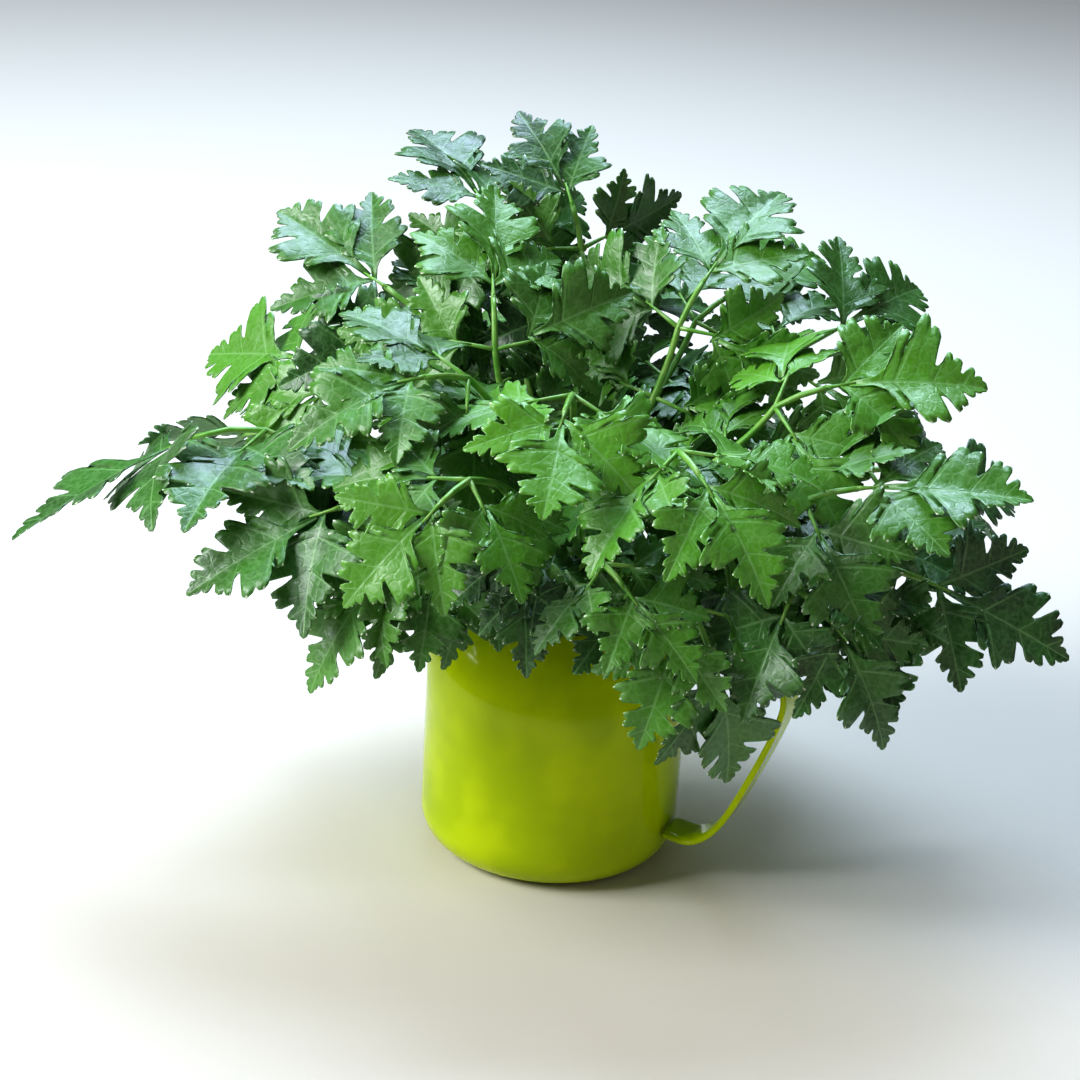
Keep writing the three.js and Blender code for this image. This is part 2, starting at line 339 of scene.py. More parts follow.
@dataclass(frozen=True)
class StemSkin:
    """The skin of a fresh parsley stalk: smooth, juicy, faintly uneven, paler low down in the mug."""

    name: str
    colour: str
    pale: str

    PALE_BELOW = 20 * MM
    GREEN_ABOVE = 110 * MM
    MOTTLE_MM = 5.0
    SHEEN_MM = 1.5
    GRAIN_MM = 0.8
    GRAIN_DEPTH = 0.05
    JUICE = {"Specular IOR Level": 0.5, "Subsurface Weight": 0.15, "Subsurface Scale": 2 * MM}

    def material(self) -> bpy.types.Material:
        """Makes the node material."""
        shader = Shader(self.name)
        height = shader.add("SeparateXYZ", {"Vector": shader.place()}).outputs["Z"]
        shaded = shader.span(height, self.PALE_BELOW, self.GREEN_ABOVE, 0.75, 0.0)
        mottle = shader.span(shader.noise(self.MOTTLE_MM), 0.35, 0.65, 0.0, 0.35)
        colour = shader.blend(shader.math("ADD", shaded, mottle), linear(self.colour), linear(self.pale))
        rough = shader.span(shader.noise(self.SHEEN_MM), 0.3, 0.7, 0.3, 0.48)
        grain = shader.bump(shader.noise(self.GRAIN_MM), self.GRAIN_DEPTH, 0.6)
        surface = shader.add(
            "BsdfPrincipled", {"Base Color": colour, "Roughness": rough, "Normal": grain}, self.JUICE
        )
        return shader.finish(surface.outputs["BSDF"])


@dataclass(frozen=True)
class LeafSkin:
    """One face of a parsley leaf: waxy green over a net of paler veins, puffed between them.

    The rib map runs along the midrib in its first direction and out along the side veins in its second,
    both at true size, so that it is 1 wide for every LeafSkin.MAP_MM millimetres.
    """

    name: str
    deep: str
    fresh: str
    young: str
    vein: str
    vein_share: float
    rough: float
    relief: float
    glow: str
    through: float

    MAP_MM = 60.0
    PATCH_MM = 16.0
    SWELL_MM = 5.0
    SHEEN_MM = 4.0
    NET_MM = 3.4
    FINE_MM = 1.1
    SHINE = 0.75
    TIP_COLOUR = "ecf4d8"

    def _veins(self, shader: Shader) -> bpy.types.NodeSocket:
        """1 on the midrib and the strong side veins, which fade on their way out, and 0 between them."""
        rib = shader.add("UVMap", uv_map="rib").outputs["UV"]
        out_share = shader.add("SeparateXYZ", {"Vector": rib}).outputs["Y"]
        off_midrib = shader.math("ABSOLUTE", shader.math("SUBTRACT", out_share, 0.5))
        out_mm = shader.math("MULTIPLY", off_midrib, self.MAP_MM)
        branch = shader.add("Attribute", attribute_name="vein").outputs["Fac"]
        fading = shader.span(out_mm, 2.0, 18.0, 1.0, 0.35)
        side_vein = shader.math("MULTIPLY", shader.span(branch, 0.55, 0.85), fading)
        midrib = shader.span(out_mm, 0.2, 0.6, 1.0, 0.0)
        return shader.math("MAXIMUM", midrib, side_vein)

    def _net(self, shader: Shader) -> bpy.types.NodeSocket:
        """1 on the lines of the net of fine veins and 0 between them."""
        scale = {"Scale": 1000 / self.NET_MM}
        cell = shader.add("TexVoronoi", {"Vector": shader.place()}, scale, feature="DISTANCE_TO_EDGE")
        return shader.span(cell.outputs["Distance"], 0.0, 0.16, 1.0, 0.0)

    def material(self) -> bpy.types.Material:
        """Makes the node material."""
        shader = Shader(self.name)
        veins = self._veins(shader)
        net = self._net(shader)
        tone = shader.add("Attribute", attribute_name="tone").outputs["Fac"]
        tip = shader.add("Attribute", attribute_name="tip").outputs["Fac"]
        patch = shader.span(shader.noise(self.PATCH_MM), 0.35, 0.65)
        fine = shader.noise(self.FINE_MM, 4.0, 0.65)
        vein_colour = linear(self.vein)
        colour = shader.blend(patch, linear(self.deep), linear(self.fresh))
        colour = shader.blend(tone, colour, linear(self.young))
        colour = shader.blend(shader.span(fine, 0.35, 0.7, 0.0, 0.16), colour, vein_colour)
        colour = shader.blend(shader.math("MULTIPLY", net, 0.1), colour, vein_colour)
        colour = shader.blend(shader.math("MULTIPLY", veins, self.vein_share), colour, vein_colour)
        colour = shader.blend(shader.span(tip, 0.7, 0.88, 0.0, 0.95), colour, linear(self.TIP_COLOUR))
        lines = shader.math("MAXIMUM", veins, shader.math("MULTIPLY", net, 0.8))
        groove = shader.math("MULTIPLY", lines, -0.3)
        swell = shader.math("MULTIPLY", shader.noise(self.SWELL_MM, 1.5), 2.8)
        relief = shader.math("ADD", shader.math("ADD", groove, swell), shader.math("MULTIPLY", fine, 0.4))
        sheen = shader.noise(self.SHEEN_MM)
        rough = shader.span(sheen, 0.3, 0.7, self.rough - 0.05, self.rough + 0.08)
        surface = shader.add(
            "BsdfPrincipled",
            {"Base Color": colour, "Roughness": rough, "Normal": shader.bump(relief, self.relief)},
            {"Specular IOR Level": self.SHINE},
        )
        behind = shader.add("BsdfTranslucent", {}, {"Color": linear(self.glow)})
        both = shader.add(
            "MixShader", {1: surface.outputs["BSDF"], 2: behind.outputs["BSDF"]}, {0: self.through}
        )
        return shader.finish(both.outputs["Shader"])


# Bright yellow-green with soft darker clouds under a smooth, even gloss.
LIME_ENAMEL = Enamel("lime_green_enamel", "b8cc08", "a6bc06")

# Almost black with a trace of violet, a little duller than the wall.
BLACK_ENAMEL = Enamel("black_rim_enamel", "15121a", "1d1822", 0.14)

# Fresh mid green above the mug, fading to a pale yellow-green where the stalks stand in it.
STEM_SKIN = StemSkin("parsley_stem", "5f9a34", "a9c873")

# Dark green in patches of two depths, yellow-green on young leaves, with a broad satin sheen.
LEAF_TOP = LeafSkin(
    name="parsley_leaf_upper",
    deep="0b3409",
    fresh="245e0e",
    young="63a812",
    vein="92c27c",
    vein_share=0.34,
    rough=0.4,
    relief=0.18,
    glow="70b41c",
    through=0.12,
)

# Paler and greyer than the upper face, duller, and with flatter veins.
LEAF_UNDER = LeafSkin(
    name="parsley_leaf_underside",
    deep="35683a",
    fresh="4f854c",
    young="6aa24a",
    vein="a4c896",
    vein_share=0.36,
    rough=0.52,
    relief=0.15,
    glow="6cae1c",
    through=0.1,
)


# ---------------------------------------------------------------- mug


@dataclass(frozen=True)
class MugSize:
    """Sizes of the mug, in millimetres."""

    height: float = 92.0
    rim_radius: float = 41.5
    foot_radius: float = 41.0
    corner: float = 13.0
    wall: float = 1.2
    bead: float = 1.6
    handle_width: float = 14.0
    handle_thickness: float = 2.2
    handle_low: float = 15.0
    handle_high: float = 79.0
    handle_reach: float = 76.0
    gap: float = 0.3
    turns: int = 96
    corner_steps: int = 14
    bead_steps: int = 20
    handle_steps: int = 64
    handle_sides: int = 28
    handle_dish: float = 0.5


class Mug:
    """A pressed steel mug in lime enamel, with a black rolled rim and a strap handle."""

    # The handle's middle line from its foot to its upper end: how far out and how far up, as shares.
    HANDLE_LINE = (
        (0.0, 0.0),
        (0.28, 0.0),
        (0.52, 0.12),
        (0.78, 0.42),
        (0.97, 0.7),
        (1.0, 0.86),
        (0.82, 1.0),
        (0.45, 1.03),
        (0.0, 1.0),
    )

    def __init__(self, size: MugSize = MugSize()) -> None:
        """Takes the mug's sizes."""
        self.size = size

    def _spun(self, profile: Sequence[tuple[float, float]], closed: bool) -> bmesh.types.BMesh:
        """Spins a profile about the mug's axis.

        Args:
            profile: Its (radius, height) points.
            closed: Whether its last point joins its first.

        Returns:
            The closed shape, facing out.
        """
        bm = bmesh.new()
        verts = [bm.verts.new((radius, 0.0, height)) for radius, height in profile]
        pairs = list(zip(verts, verts[1:]))
        if closed:
            pairs.append((verts[-1], verts[0]))
        edges = [bm.edges.new(pair) for pair in pairs]
        bmesh.ops.spin(
            bm,
            geom=verts + edges,
            cent=(0, 0, 0),
            axis=UP,
            angle=2 * math.pi,
            steps=self.size.turns,
            use_merge=True,
        )
        bmesh.ops.remove_doubles(bm, verts=bm.verts, dist=MERGE)
        outward(bm)
        return bm

    @staticmethod
    def _arc(
        radius: float, height: float, size: float, start: float, stop: float, steps: int
    ) -> list[tuple[float, float]]:
        """Points of an arc in the (radius, height) plane.

        Args:
            radius: How far its centre is from the mug's axis.
            height: Its centre's height.
            size: Its own radius.
            start: Its first angle, in degrees from outwards.
            stop: Its last angle.
            steps: How many stretches it has.

        Returns:
            The points.
        """
        points = []
        for i in range(steps + 1):
            angle = math.radians(mix(start, stop, i / steps))
            points.append((radius + size * math.cos(angle), height + size * math.sin(angle)))
        return points

    def build_body(self) -> bpy.types.Object:
        """The cup, open at the top, with its wall's thickness."""
        s = self.size
        top = s.height - 2 * s.bead - s.gap
        flat = s.foot_radius - s.corner
        middle_radius = mix(s.foot_radius, s.rim_radius, 0.5)
        middle_height = mix(s.corner, top, 0.5)
        profile = [(0.0, 0.0), (0.5 * flat, 0.0)]
        profile += self._arc(flat, s.corner, s.corner, -90, 0, s.corner_steps)
        profile += [(middle_radius, middle_height), (s.rim_radius, top)]
        profile += [(s.rim_radius - s.wall, top), (middle_radius - s.wall, middle_height)]
        profile += self._arc(flat, s.corner, s.corner - s.wall, 0, -90, s.corner_steps)
        profile += [(0.5 * flat, s.wall), (0.0, s.wall)]
        return piece("enamel_cup", self._spun(profile, False), [LIME_ENAMEL.material()])

    def build_rim(self) -> bpy.types.Object:
        """The rolled bead round the mouth."""
        s = self.size
        ring = self._arc(s.rim_radius - s.wall / 2, s.height - s.bead, s.bead, 0, 360, s.bead_steps)[:-1]
        return piece("enamel_rim", self._spun(ring, True), [BLACK_ENAMEL.material()])

    def _handle_line(self, share: float) -> tuple[Vector, Vector]:
        """The handle's middle line and its direction, at a share of its length."""
        s = self.size
        wall = s.rim_radius + s.gap
        knots = [
            Vector((mix(wall, s.handle_reach, out), 0.0, mix(s.handle_low, s.handle_high, up)))
            for out, up in self.HANDLE_LINE
        ]

        def at(where: float) -> Vector:
            """The point at a share of the way, on a smooth curve through the knots."""
            spot = min(max(where, 0.0), 1.0) * (len(knots) - 1)
            i = min(int(spot), len(knots) - 2)
            t = spot - i
            p1, p2 = knots[i], knots[i + 1]
            p0 = knots[i - 1] if i else 2 * p1 - p2
            p3 = knots[i + 2] if i + 2 < len(knots) else 2 * p2 - p1
            square = 2 * p0 - 5 * p1 + 4 * p2 - p3
            cube = 3 * (p1 - p2) + p3 - p0
            return 0.5 * (2 * p1 + (p2 - p0) * t + square * t**2 + cube * t**3)

        ahead = 0.004
        return at(share), (at(share + ahead) - at(share - ahead)).normalized()

    def build_handle(self) -> bpy.types.Object:
        """The strap handle, a slightly dished strip with rounded edges, whose ends butt against the wall."""
        s = self.size
        bm = bmesh.new()
        steps = s.handle_steps
        half = s.handle_width / 2
        sideways = Vector((0.0, 1.0, 0.0))

        def place(u: float, v: float) -> Vector:
            """The strap's point at a share round it and a share along it."""
            row = round(v * (steps + 2)) - 1
            shut = row < 0 or row > steps
            middle, forward = self._handle_line(min(max(row, 0), steps) / steps)
            thick = sideways.cross(forward)
            angle = 2 * math.pi * u
            wide = half * math.copysign(abs(math.cos(angle)) ** 0.22, math.cos(angle))
            deep = s.handle_thickness / 2 * math.copysign(abs(math.sin(angle)) ** 0.8, math.sin(angle))
            dish = s.handle_dish * (wide / half) ** 2
            size = 0.0 if shut else 1.0
            return middle + size * (sideways * wide + thick * (deep + dish))

        verts = lay_grid(bm, s.handle_sides, steps + 2, place)
        bmesh.ops.remove_doubles(bm, verts=verts, dist=MERGE)
        outward(bm)
        return piece("enamel_handle", bm, [LIME_ENAMEL.material()])

    def build(self) -> None:
        """Makes the mug's three pieces."""
        deliver(self.build_body(), Slot.LIME, "mug_body")
        deliver(self.build_rim(), Slot.BLACK, "mug_rim")
        deliver(self.build_handle(), Slot.LIME, "mug_handle")


# ---------------------------------------------------------------- parsley


@dataclass(frozen=True)
class SprigPlace:
    """Where a sprig's leaf forks, how its blade lies, and its size.

    heading, reach and height place the fork, and heading is anticlockwise from the handle. lean is the
    blade's angle from upright, and turn swings it from its heading. roll comes on top of the blade's own
    roll towards the window. size is its scale, and age runs from 0, grown, to 1, young and pale.
    """

    name: str
    heading: float
    reach: float
    height: float
    lean: float
    turn: float
    roll: float
    size: float
    age: float


SPRIGS = (
    SprigPlace("far_left", -155, 94, 134, 90, 6, 46, 1.12, 0.1),
    SprigPlace("left_upper", -174, 74, 146, 80, -10, 0, 0.85, 0.5),
    SprigPlace("upper_left", 174, 54, 162, 50, 16, 0, 0.9, 0.15),
    SprigPlace("top_left", 140, 54, 181, 34, 24, 0, 0.8, 0.1),
    SprigPlace("top", 114, 50, 183, 14, 62, 0, 0.72, 0.15),
    SprigPlace("top_right", 56, 36, 168, 32, 10, 0, 0.85, 0.45),
    SprigPlace("right_top", 84, 79, 156, 56, -28, 0, 0.85, 0.3),
    SprigPlace("right_back", 60, 83, 150, 58, -14, 6, 1.0, 0.2),
    SprigPlace("right", 4, 62, 157, 56, 5, -6, 0.85, 0.55),
    SprigPlace("right_middle", -12, 82, 138, 62, 12, 0, 0.85, 0.25),
    SprigPlace("far_right", -3, 99, 118, 88, -2, 0, 0.84, 0.0),
    SprigPlace("right_low", -22, 92, 118, 108, 0, 0, 0.75, 0.1),
    SprigPlace("front_hanging", -42, 82, 114, 138, 24, 0, 0.8, 0.25),
    SprigPlace("front", -59, 70, 123, 100, 24, 0, 0.6, 0.4),
    SprigPlace("front_middle", -80, 62, 121, 104, 20, 0, 0.5, 0.0),
    SprigPlace("left_front", -108, 62, 119, 112, -14, 0, 0.75, 0.3),
    SprigPlace("left", -120, 64, 127, 88, -12, 0, 0.92, 0.2),
    SprigPlace("centre_left", -112, 46, 164, 76, -6, 0, 0.8, 0.3),
    SprigPlace("centre", -70, 36, 162, 84, -4, 0, 0.8, 0.75),
    SprigPlace("centre_front", -90, 76, 146, 100, -10, 0, 0.7, 0.5),
    SprigPlace("right_centre", -40, 64, 154, 92, -6, 0, 0.8, 0.6),
    SprigPlace("crown", -166, 26, 162, 26, -70, 0, 0.85, 0.45),
    SprigPlace("back_right", 34, 95, 126, 88, 6, 0, 0.9, 0.1),
    SprigPlace("back_low_right", 70, 90, 120, 104, -8, 0, 0.9, 0.2),
    SprigPlace("back", 100, 96, 126, 94, 8, 0, 0.95, 0.1),
    SprigPlace("back_low_left", 136, 90, 120, 102, -6, 0, 0.9, 0.2),
    SprigPlace("back_left", 164, 90, 126, 88, 8, 0, 0.9, 0.15),
    SprigPlace("back_upper", 108, 82, 152, 60, 6, 0, 0.9, 0.2),
)


@dataclass(frozen=True)
class Pair:
    """A pair of side pinnae: their angle from the blade's way in degrees, their stalk and their span."""

    angle: float
    stalk: float
    span: float


@dataclass(frozen=True)
class SprigSize:
    """Sizes that all sprigs share, in millimetres and degrees, for a leaf of size 1."""

    stem_radius: float = 1.6
    neck_radius: float = 0.84
    stem_sides: int = 15
    stem_ribs: float = 0.07
    stalk_root: float = 0.85
    stalk_end: float = 0.4
    stalk_sides: int = 9
    stalk_sunk: float = 0.6
    stalk_under: float = 0.14
    end_stalk: float = 2.0
    foot_height: float = 3.5
    foot_share: float = 0.62
    mouth_height: float = 94.0
    mouth_radius: float = 35.0
    widest_lean: float = 80.0
    least_arrival: float = 12.0
    arrival_lift: float = 26.0
    rise_share: float = 0.42
    arrival_share: float = 0.38
    rachis: float = 20.0
    end_span: float = 52.0
    lower_node: float = 27.0
    inner_node: float = 48.0
    inner_height: float = 104.0
    inner_room: float = 6.0
    fork_pair: Pair = Pair(64.0, 11.0, 44.0)
    lower_pair: Pair = Pair(78.0, 10.0, 36.0)
    inner_pair: Pair = Pair(84.0, 9.0, 32.0)
    rachis_droop: float = 14.0
    end_droop: float = 10.0
    side_droop: float = 0.25
    window_heading: float = -68.0
    window_height: float = 40.0
    window_share: float = 0.7
    most_roll: float = 48.0
    blade: float = 0.3


SIZE = SprigSize()

# Half of a leaflet's edge, from its base to its tip: how far along the midrib and how far out from it each
# point lies, as shares of the leaflet, and how strongly the vein that ends there shows. Points with a vein
# are the blunt tips of teeth. Two deep notches part a wide side lobe, a middle lobe and the narrow end.
OUTLINE = (
    (0.000, 0.016, 0.00),
    (0.100, 0.030, 0.00),
    (0.175, 0.080, 0.00),
    (0.228, 0.165, 0.00),
    (0.258, 0.230, 0.00),
    (0.292, 0.270, 0.62),
    (0.330, 0.268, 0.00),
    (0.350, 0.222, 0.00),
    (0.384, 0.286, 0.00),
    (0.438, 0.348, 0.00),
    (0.480, 0.366, 1.00),
    (0.506, 0.340, 0.00),
    (0.508, 0.290, 0.00),
    (0.540, 0.312, 0.00),
    (0.590, 0.308, 0.66),
    (0.608, 0.270, 0.00),
    (0.576, 0.190, 0.00),
    (0.540, 0.104, 0.00),
    (0.562, 0.100, 0.00),
    (0.610, 0.132, 0.00),
    (0.646, 0.174, 0.00),
    (0.684, 0.212, 0.95),
    (0.718, 0.192, 0.00),
    (0.718, 0.156, 0.00),
    (0.744, 0.174, 0.00),
    (0.790, 0.166, 0.64),
    (0.796, 0.138, 0.00),
    (0.758, 0.072, 0.00),
    (0.778, 0.068, 0.00),
    (0.814, 0.092, 0.00),
    (0.852, 0.108, 0.00),
    (0.882, 0.100, 0.88),
    (0.886, 0.076, 0.00),
    (0.876, 0.050, 0.00),
    (0.912, 0.058, 0.00),
    (0.944, 0.052, 0.62),
    (0.948, 0.036, 0.00),
    (0.984, 0.026, 0.00),
    (1.000, 0.000, 0.00),
)


@dataclass(frozen=True)
class Rib:
    """A line of the leaflet that leaves its midrib at an angle and runs out to its edge."""

    along: float
    angle: float
    reach: float
    vein: float


# A rib's angle from the midrib, in degrees, at the leaflet's base and at its tip, and the least distance
# between two ribs along the midrib, as a share of its length.
BASE_ANGLE = 60.0
TIP_ANGLE = 34.0
RIB_GAP = 0.005


def ribs_of(outline: Sequence[tuple[float, float, float]]) -> list[Rib]:
    """Finds the ribs that end at the points of a leaflet's edge, so that none crosses another.

    Args:
        outline: Half of the edge: along, out and vein of each point.

    Returns:
        The ribs from the base to the tip.
    """
    ribs: list[Rib] = []
    for x, y, vein in outline:
        along = x
        for _ in range(30):  # settles, because the angle changes slowly along the midrib
            along = x - y / math.tan(math.radians(mix(BASE_ANGLE, TIP_ANGLE, along)))
        least = ribs[-1].along + RIB_GAP if ribs else 0.0
        along = min(max(along, least), x)
        ribs.append(Rib(along, math.atan2(y, x - along), math.hypot(y, x - along), vein))
    return ribs


RIBS = ribs_of(OUTLINE)


@dataclass(frozen=True)
class Leaflet:
    """One lobed and toothed leaflet, laid on ribs that leave its midrib at an angle.

    way runs along its midrib and upper is the way its upper face looks. waist above 1 draws its lobes
    towards the base and below 1 towards the tip. fold lifts its edges, droop bends its tip down, ripple
    waves its edges by so many millimetres, and phase shifts the waves. The size of skew, whatever its sign,
    is how much wider its left half is and how much narrower its right half.
    """

    base: Vector
    way: Vector
    upper: Vector
    length: float
    breadth: float
    waist: float
    fold: float
    droop: float
    ripple: float
    phase: float
    tone: float
    skew: float

    ACROSS = 8
    UNEVEN = 0.13
    HALF_BREADTH = 0.42

    def point(self, side: float, rib: Rib) -> Vector:
        """The point a share of the way out along a rib.

        Args:
            side: From -1 at the right edge through 0 on the midrib to 1 at the left edge.
            rib: The rib.

        Returns:
            The point, in millimetres.
        """
        left = side > 0
        swing = math.sin(9 * rib.along + 1.3 * self.phase + (2.1 if left else 0))
        reach = abs(side) * rib.reach * self.length * (1 + self.UNEVEN * swing)
        x = rib.along * self.length + reach * math.cos(rib.angle)
        x = self.length * max(x / self.length, 0.0) ** self.waist
        y = math.copysign(reach * math.sin(rib.angle), side)
        y *= self.breadth * (1 + math.copysign(self.skew, side))
        share = x / self.length
        wide = min(1.0, abs(y) / (self.HALF_BREADTH * self.length))
        wave = self.ripple * math.sin(self.phase + 8 * share + (1.7 if left else 0)) * wide**1.5
        z = self.fold * abs(y) * (1 - 0.6 * wide) + wave - self.droop * x * share
        shorter = 1 - 0.5 * self.droop**2 * share
        across = self.upper.cross(self.way)
        return self.base + self.way * (x * shorter) + across * y + self.upper * z

    def add_to(self, bm: bmesh.types.BMesh) -> None:
        """Adds the leaflet's surface, with its rib map, its tone, its tooth tips and its veins."""
        rows = len(RIBS) - 1
        uv = bm.loops.layers.uv[0]
        tone = bm.verts.layers.float["tone"]
        tip = bm.verts.layers.float["tip"]
        vein = bm.verts.layers.float["vein"]
        made = bmesh.ops.create_grid(bm, x_segments=self.ACROSS, y_segments=rows, size=1.0)["verts"]
        mapped: dict[bmesh.types.BMVert, tuple[float, float]] = {}
        for vert in made:
            u = round((vert.co.x + 1) / 2 * self.ACROSS) / self.ACROSS
            rib = RIBS[round((vert.co.y + 1) / 2 * rows)]
            side = 1 - 2 * u
            eased = math.copysign(abs(side) ** 0.8, side)
            vert.co = self.point(eased, rib)
            size = self.length / LeafSkin.MAP_MM
            mapped[vert] = (rib.along * size, 0.5 + eased * rib.reach * size)
            vert[tone] = self.tone
            vert[vein] = rib.vein
            vert[tip] = 1.0 if abs(side) > 0.99 and rib.vein else 0.0
        for face in {face for vert in made for face in vert.link_faces}:
            for loop in face.loops:
                loop[uv].uv = mapped[loop.vert]
        bmesh.ops.remove_doubles(bm, verts=made, dist=MERGE)


@dataclass(frozen=True)
class Pinna:
    """A group of three leaflets on one stalk: its root, its way, its upper face's way, stalk and span."""

    root: Vector
    way: Vector
    upper: Vector
    stalk: float
    span: float


class Sprig:
    """One cut stem and its compound leaf, laid in its place."""

    BEND_STEPS = 60
    NEAREST_NODE = 0.6

    # The leaflets of a pinna: their angle from its way in degrees, their length, and how far along the
    # pinna they start, as shares of its span.
    LEAFLETS = ((0, 0.94, 0.10), (50, 0.76, 0.05), (-50, 0.76, 0.05))

    # How far pinnae and leaflets may swing and twist from their regular places, in degrees.
    PINNA_SWING = 9
    PINNA_TWIST = 18
    LEAFLET_SWING = 6
    LEAFLET_TWIST = 12

    def __init__(self, where: SprigPlace, size: SprigSize = SIZE) -> None:
        """Lays the sprig's blade and stem in its place."""
        self.where = where
        self.size = size
        self.luck = random.Random(where.name)
        self.along, self.face = self._blade_axes()
        self._lay_line()

    def _blade_axes(self) -> tuple[Vector, Vector]:
        """The way the blade points, and the way its upper face looks."""
        where, size = self.where, self.size
        along = leaning(where.heading + where.turn, where.lean)
        level = UP.cross(along).normalized()
        face = along.cross(level)
        light = leaning(size.window_heading, 90 - size.window_height)
        offset = math.degrees(math.atan2(-light.dot(level), light.dot(face)))
        roll = min(max(size.window_share * offset, -size.most_roll), size.most_roll)
        return along, turned(face, along, roll + where.roll)

    def _lay_line(self) -> None:
        """Works out the stem's line, its two nodes, its fork and its tip."""
        where, size = self.where, self.size
        polar = math.degrees(math.atan2(where.reach, where.height - MugSize.height))
        mouth_radius = size.mouth_radius * min(1.0, polar / size.widest_lean)
        foot = on_heading(where.heading, size.foot_share * mouth_radius, size.foot_height)
        mouth = on_heading(where.heading, mouth_radius, size.mouth_height)
        fork = on_heading(where.heading, where.reach, where.height)
        span = (fork - mouth).length
        rise = (mouth - foot).normalized()
        arrival_lean = max(size.least_arrival, where.lean - size.arrival_lift)
        arrival = leaning(where.heading + 0.5 * where.turn, arrival_lean)
        leave = mouth + rise * size.rise_share * span
        arrive = fork - arrival * size.arrival_share * span
        bend = []
        for i in range(self.BEND_STEPS + 1):
            t = i / self.BEND_STEPS
            curve = mouth * (1 - t) ** 3 + leave * (3 * t * (1 - t) ** 2)
            bend.append(curve + arrive * (3 * t * t * (1 - t)) + fork * t**3)
        lengths = [0.0]
        for a, b in zip(bend, bend[1:]):
            lengths.append(lengths[-1] + (b - a).length)

        def at_length(wanted: float) -> Vector:
            """The point of the bend nearest to a length along it."""
            return bend[min(range(len(bend)), key=lambda i: abs(lengths[i] - wanted))]

        whole = lengths[-1]
        self.node = at_length(whole - min(self.NEAREST_NODE * whole, size.lower_node * where.size))
        inner_at = whole - size.inner_node * where.size
        self.inner = at_length(inner_at)
        self.has_inner = inner_at > size.inner_room and self.inner.z > size.inner_height
        self.fork = fork
        side = self.face.cross(self.along)
        drooped = turned(self.along, side, size.rachis_droop)
        half_rachis = 0.5 * size.rachis * where.size
        middle = fork + self.along * half_rachis
        self.tip = middle + drooped * half_rachis
        inside = [foot.lerp(mouth, i / 10) for i in range(10)]
        rachis = [fork.lerp(middle, 0.5), middle, middle.lerp(self.tip, 0.5), self.tip]
        self.line = inside + bend[::3] + rachis

    def pinnae(self) -> list[Pinna]:
        """The leaf's pinnae, the end one first."""
        size, scale = self.size, self.where.size
        side = self.face.cross(self.along)
        bend = size.rachis_droop + size.end_droop
        way, upper = turned(self.along, side, bend), turned(self.face, side, bend)
        found = [Pinna(self.tip, way, upper, size.end_stalk, size.end_span * scale)]
        pairs = [(self.fork, size.fork_pair), (self.node, size.lower_pair)]
        if self.has_inner:
            pairs.append((self.inner, size.inner_pair))
        for root, pair in pairs:
            for hand in (1, -1):
                way = turned(self.along, self.face, hand * pair.angle)
                way = (way - UP * size.side_droop).normalized()
                upper = (self.face - way * self.face.dot(way)).normalized()
                found.append(Pinna(root, way, upper, pair.stalk * scale, pair.span * scale))
        return found

    def leaflets(self) -> list[Leaflet]:
        """The three leaflets of every pinna, each a little different."""
        found = []
        for pinna in self.pinnae():
            way = turned(pinna.way, pinna.upper, self._play(self.PINNA_SWING))
            upper = turned(pinna.upper, way, self._play(self.PINNA_TWIST))
            base = pinna.root + way * pinna.stalk
            tone = held(self.where.age + self.luck.uniform(-0.15, 0.2))
            for angle, length, start in self.LEAFLETS:
                hand = math.copysign(1, angle) if angle else 0
                direction = turned(way, upper, angle + self._play(self.LEAFLET_SWING))
                twist = self._play(self.LEAFLET_TWIST) + self.LEAFLET_TWIST * hand
                found.append(
                    Leaflet(
                        base=base + way * start * pinna.span,
                        way=direction,
                        upper=turned(upper, direction, twist),
                        length=pinna.span * length * self.luck.uniform(0.92, 1.06),
                        breadth=self.luck.uniform(0.98, 1.3),
                        waist=self.luck.uniform(0.92, 1.05) if hand else self.luck.uniform(0.74, 0.86),
                        fold=self.luck.uniform(0.14, 0.5),
                        droop=self.luck.uniform(0.08, 0.4),
                        ripple=self.luck.uniform(0.6, 1.9),
                        phase=self.luck.uniform(0, 6.28),
                        tone=held(tone + self._play(0.08)),
                        skew=self._play(0.08) + 0.1 * hand,
                    )
                )
        return found

    def _play(self, most: float) -> float:
        """A seeded random amount, up to so much either way."""
        return self.luck.uniform(-most, most)

    def build_stem(self, skin: bpy.types.Material) -> bpy.types.Object:
        """The stalk from its cut foot to the end pinna, with the side stalks, which run on under the leaf."""
        bm = bmesh.new()
        size = self.size

        def stem_radius(share: float) -> float:
            """The stem's radius at a share of its length."""
            return mix(size.stem_radius, size.neck_radius, share**1.3)

        def stalk_radius(share: float) -> float:
            """A side stalk's radius at a share of its length."""
            return mix(size.stalk_root, size.stalk_end, share)

        closed_tube(bm, self.line, stem_radius, size.stem_sides, size.stem_ribs)
        for pinna in self.pinnae():
            end = pinna.stalk + size.stalk_under * pinna.span
            stops = (-size.stalk_sunk, 0.5 * pinna.stalk, pinna.stalk, end)
            points = [pinna.root + pinna.way * stop for stop in stops]
            closed_tube(bm, points, stalk_radius, size.stalk_sides)
        outward(bm)
        return piece(f"stalk_{self.where.name}", bm, [skin])

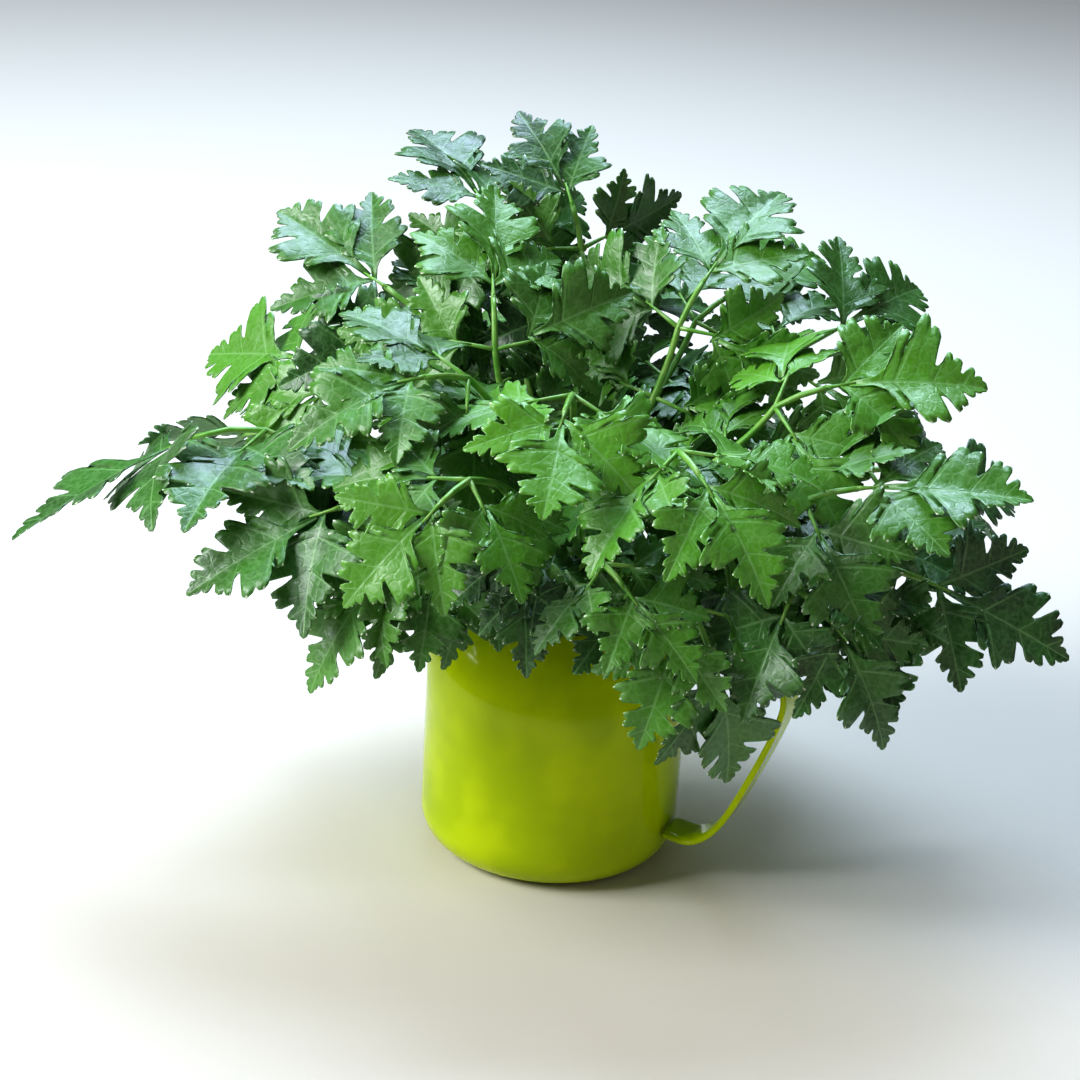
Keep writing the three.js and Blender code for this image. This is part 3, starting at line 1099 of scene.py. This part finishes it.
    def build_leaf(self, top: bpy.types.Material, under: bpy.types.Material) -> bpy.types.Object:
        """The leaf's blade, with its upper and under faces."""
        bm = bmesh.new()
        bm.loops.layers.uv.new("rib")
        for layer in ("tone", "tip", "vein"):
            bm.verts.layers.float.new(layer)
        for leaflet in self.leaflets():
            leaflet.add_to(bm)
        blade = piece(f"blade_{self.where.name}", bm, [top, under])
        thick = blade.modifiers.new("thickness", "SOLIDIFY")
        thick.thickness = self.size.blade * MM
        thick.offset = -1
        thick.material_offset = 1
        return blade


class Bunch:
    """All the sprigs in the mug."""

    def build(self) -> None:
        """Makes every sprig's stalk and blade."""
        stem, top, under = STEM_SKIN.material(), LEAF_TOP.material(), LEAF_UNDER.material()
        for where in SPRIGS:
            sprig = Sprig(where)
            deliver(sprig.build_stem(stem), Slot.STEM, f"stem_{where.name}")
            deliver(sprig.build_leaf(top, under), Slot.LEAF, f"leaf_{where.name}")


# ---------------------------------------------------------------- studio


@dataclass(frozen=True)
class SoftBox:
    """A square soft light.

    azimuth and elevation, in degrees, and distance, in metres, say where it hangs from the bunch.
    """

    name: str
    azimuth: float
    elevation: float
    distance: float
    side: float
    watts: float
    colour: str


class Studio:
    """A pale floor, soft lights and the camera."""

    AIM = Vector((0.0, 0.0, 0.12))
    FLOOR = "d6cfc1"
    FLOOR_REACH_MM = 6000.0
    SURROUND = "eef2f6"
    SURROUND_STRENGTH = 0.1
    BOXES = (
        SoftBox("window_light", -50, 34, 1.5, 0.8, 31.0, "f6faff"),
        SoftBox("sky_light", -150, 58, 1.5, 0.9, 32.0, "cbe1ff"),
        SoftBox("fill_light", 70, 25, 1.8, 1.4, 2.6, "fff6e6"),
    )

    # The camera: where it stands from the centre of the mug's base, in degrees and metres, how far it is
    # rolled, and how far its aim is moved up and left from there, as shares of the distance.
    AZIMUTH = 22.0
    ELEVATION = 27.0
    ROLL = 4.0
    DISTANCE = 0.9
    LENS_MM = 92.2
    SENSOR_MM = 36.0
    AIM_UP = 0.1075
    AIM_LEFT = 0.0022

    @staticmethod
    def _way(azimuth: float, elevation: float) -> Vector:
        """The direction from the bunch at an azimuth, anticlockwise from -Y, and an elevation."""
        a, e = math.radians(azimuth), math.radians(elevation)
        return Vector((math.sin(a) * math.cos(e), -math.cos(a) * math.cos(e), math.sin(e)))

    def build_floor(self) -> None:
        """A wide pale floor."""
        bm = bmesh.new()
        bmesh.ops.create_grid(bm, x_segments=1, y_segments=1, size=self.FLOOR_REACH_MM)
        shader = Shader("studio_floor")
        surface = shader.add("BsdfPrincipled", {}, {"Base Color": linear(self.FLOOR), "Roughness": 0.9})
        floor = piece("floor", bm, [shader.finish(surface.outputs["BSDF"])])

    def build_lights(self) -> None:
        """Three soft boxes and a pale surround."""
        for box in self.BOXES:
            data = bpy.data.lights.new(box.name, "AREA")
            data.shape = "SQUARE"
            data.size = box.side
            data.energy = box.watts
            data.color = linear(box.colour)[:3]
            lamp = bpy.data.objects.new(box.name, data)
            way = self._way(box.azimuth, box.elevation)
            lamp.location = self.AIM + way * box.distance
            lamp.rotation_euler = (-way).to_track_quat("-Z", "Y").to_euler()
            bpy.context.scene.collection.objects.link(lamp)
        world = bpy.data.worlds.new("surround")
        world.use_nodes = True
        back = world.node_tree.nodes["Background"]
        back.inputs["Color"].default_value = linear(self.SURROUND)
        back.inputs["Strength"].default_value = self.SURROUND_STRENGTH
        bpy.context.scene.world = world

    def build_camera(self) -> None:
        """The camera, a little above the bunch and turned from the handle."""
        data = bpy.data.cameras.new("camera")
        data.lens = self.LENS_MM
        data.sensor_width = self.SENSOR_MM
        camera = bpy.data.objects.new("camera", data)
        away = self._way(self.AZIMUTH, self.ELEVATION)
        forward = -away
        right = forward.cross(UP).normalized()
        level_up = right.cross(forward)
        roll = math.radians(self.ROLL)
        right_rolled = right * math.cos(roll) + level_up * math.sin(roll)
        up_rolled = level_up * math.cos(roll) - right * math.sin(roll)
        look = (forward + up_rolled * self.AIM_UP - right_rolled * self.AIM_LEFT).normalized()
        up = (up_rolled - look * up_rolled.dot(look)).normalized()
        side = look.cross(up)
        turn = Matrix((side, up, -look)).transposed()
        camera.matrix_world = Matrix.Translation(away * self.DISTANCE) @ turn.to_4x4()
        bpy.context.scene.collection.objects.link(camera)
        bpy.context.scene.camera = camera

    def set_view(self) -> None:
        """A plain film response, so that finishes keep their own strong colours."""
        bpy.context.scene.view_settings.view_transform = "Standard"
        bpy.context.scene.view_settings.look = "Medium High Contrast"

    def build(self) -> None:
        """Makes the floor, the lights and the camera."""
        self.set_view()
        self.build_floor()
        self.build_lights()
        self.build_camera()


def main() -> None:
    """Builds the mug, the bunch and the studio."""
    logging.basicConfig(level=logging.INFO, format="%(name)s: %(message)s")
    Mug().build()
    LOG.info("mug built")
    Bunch().build()
    LOG.info("%d sprigs built", len(SPRIGS))
    Studio().build()


if __name__ == "__main__":
    main()
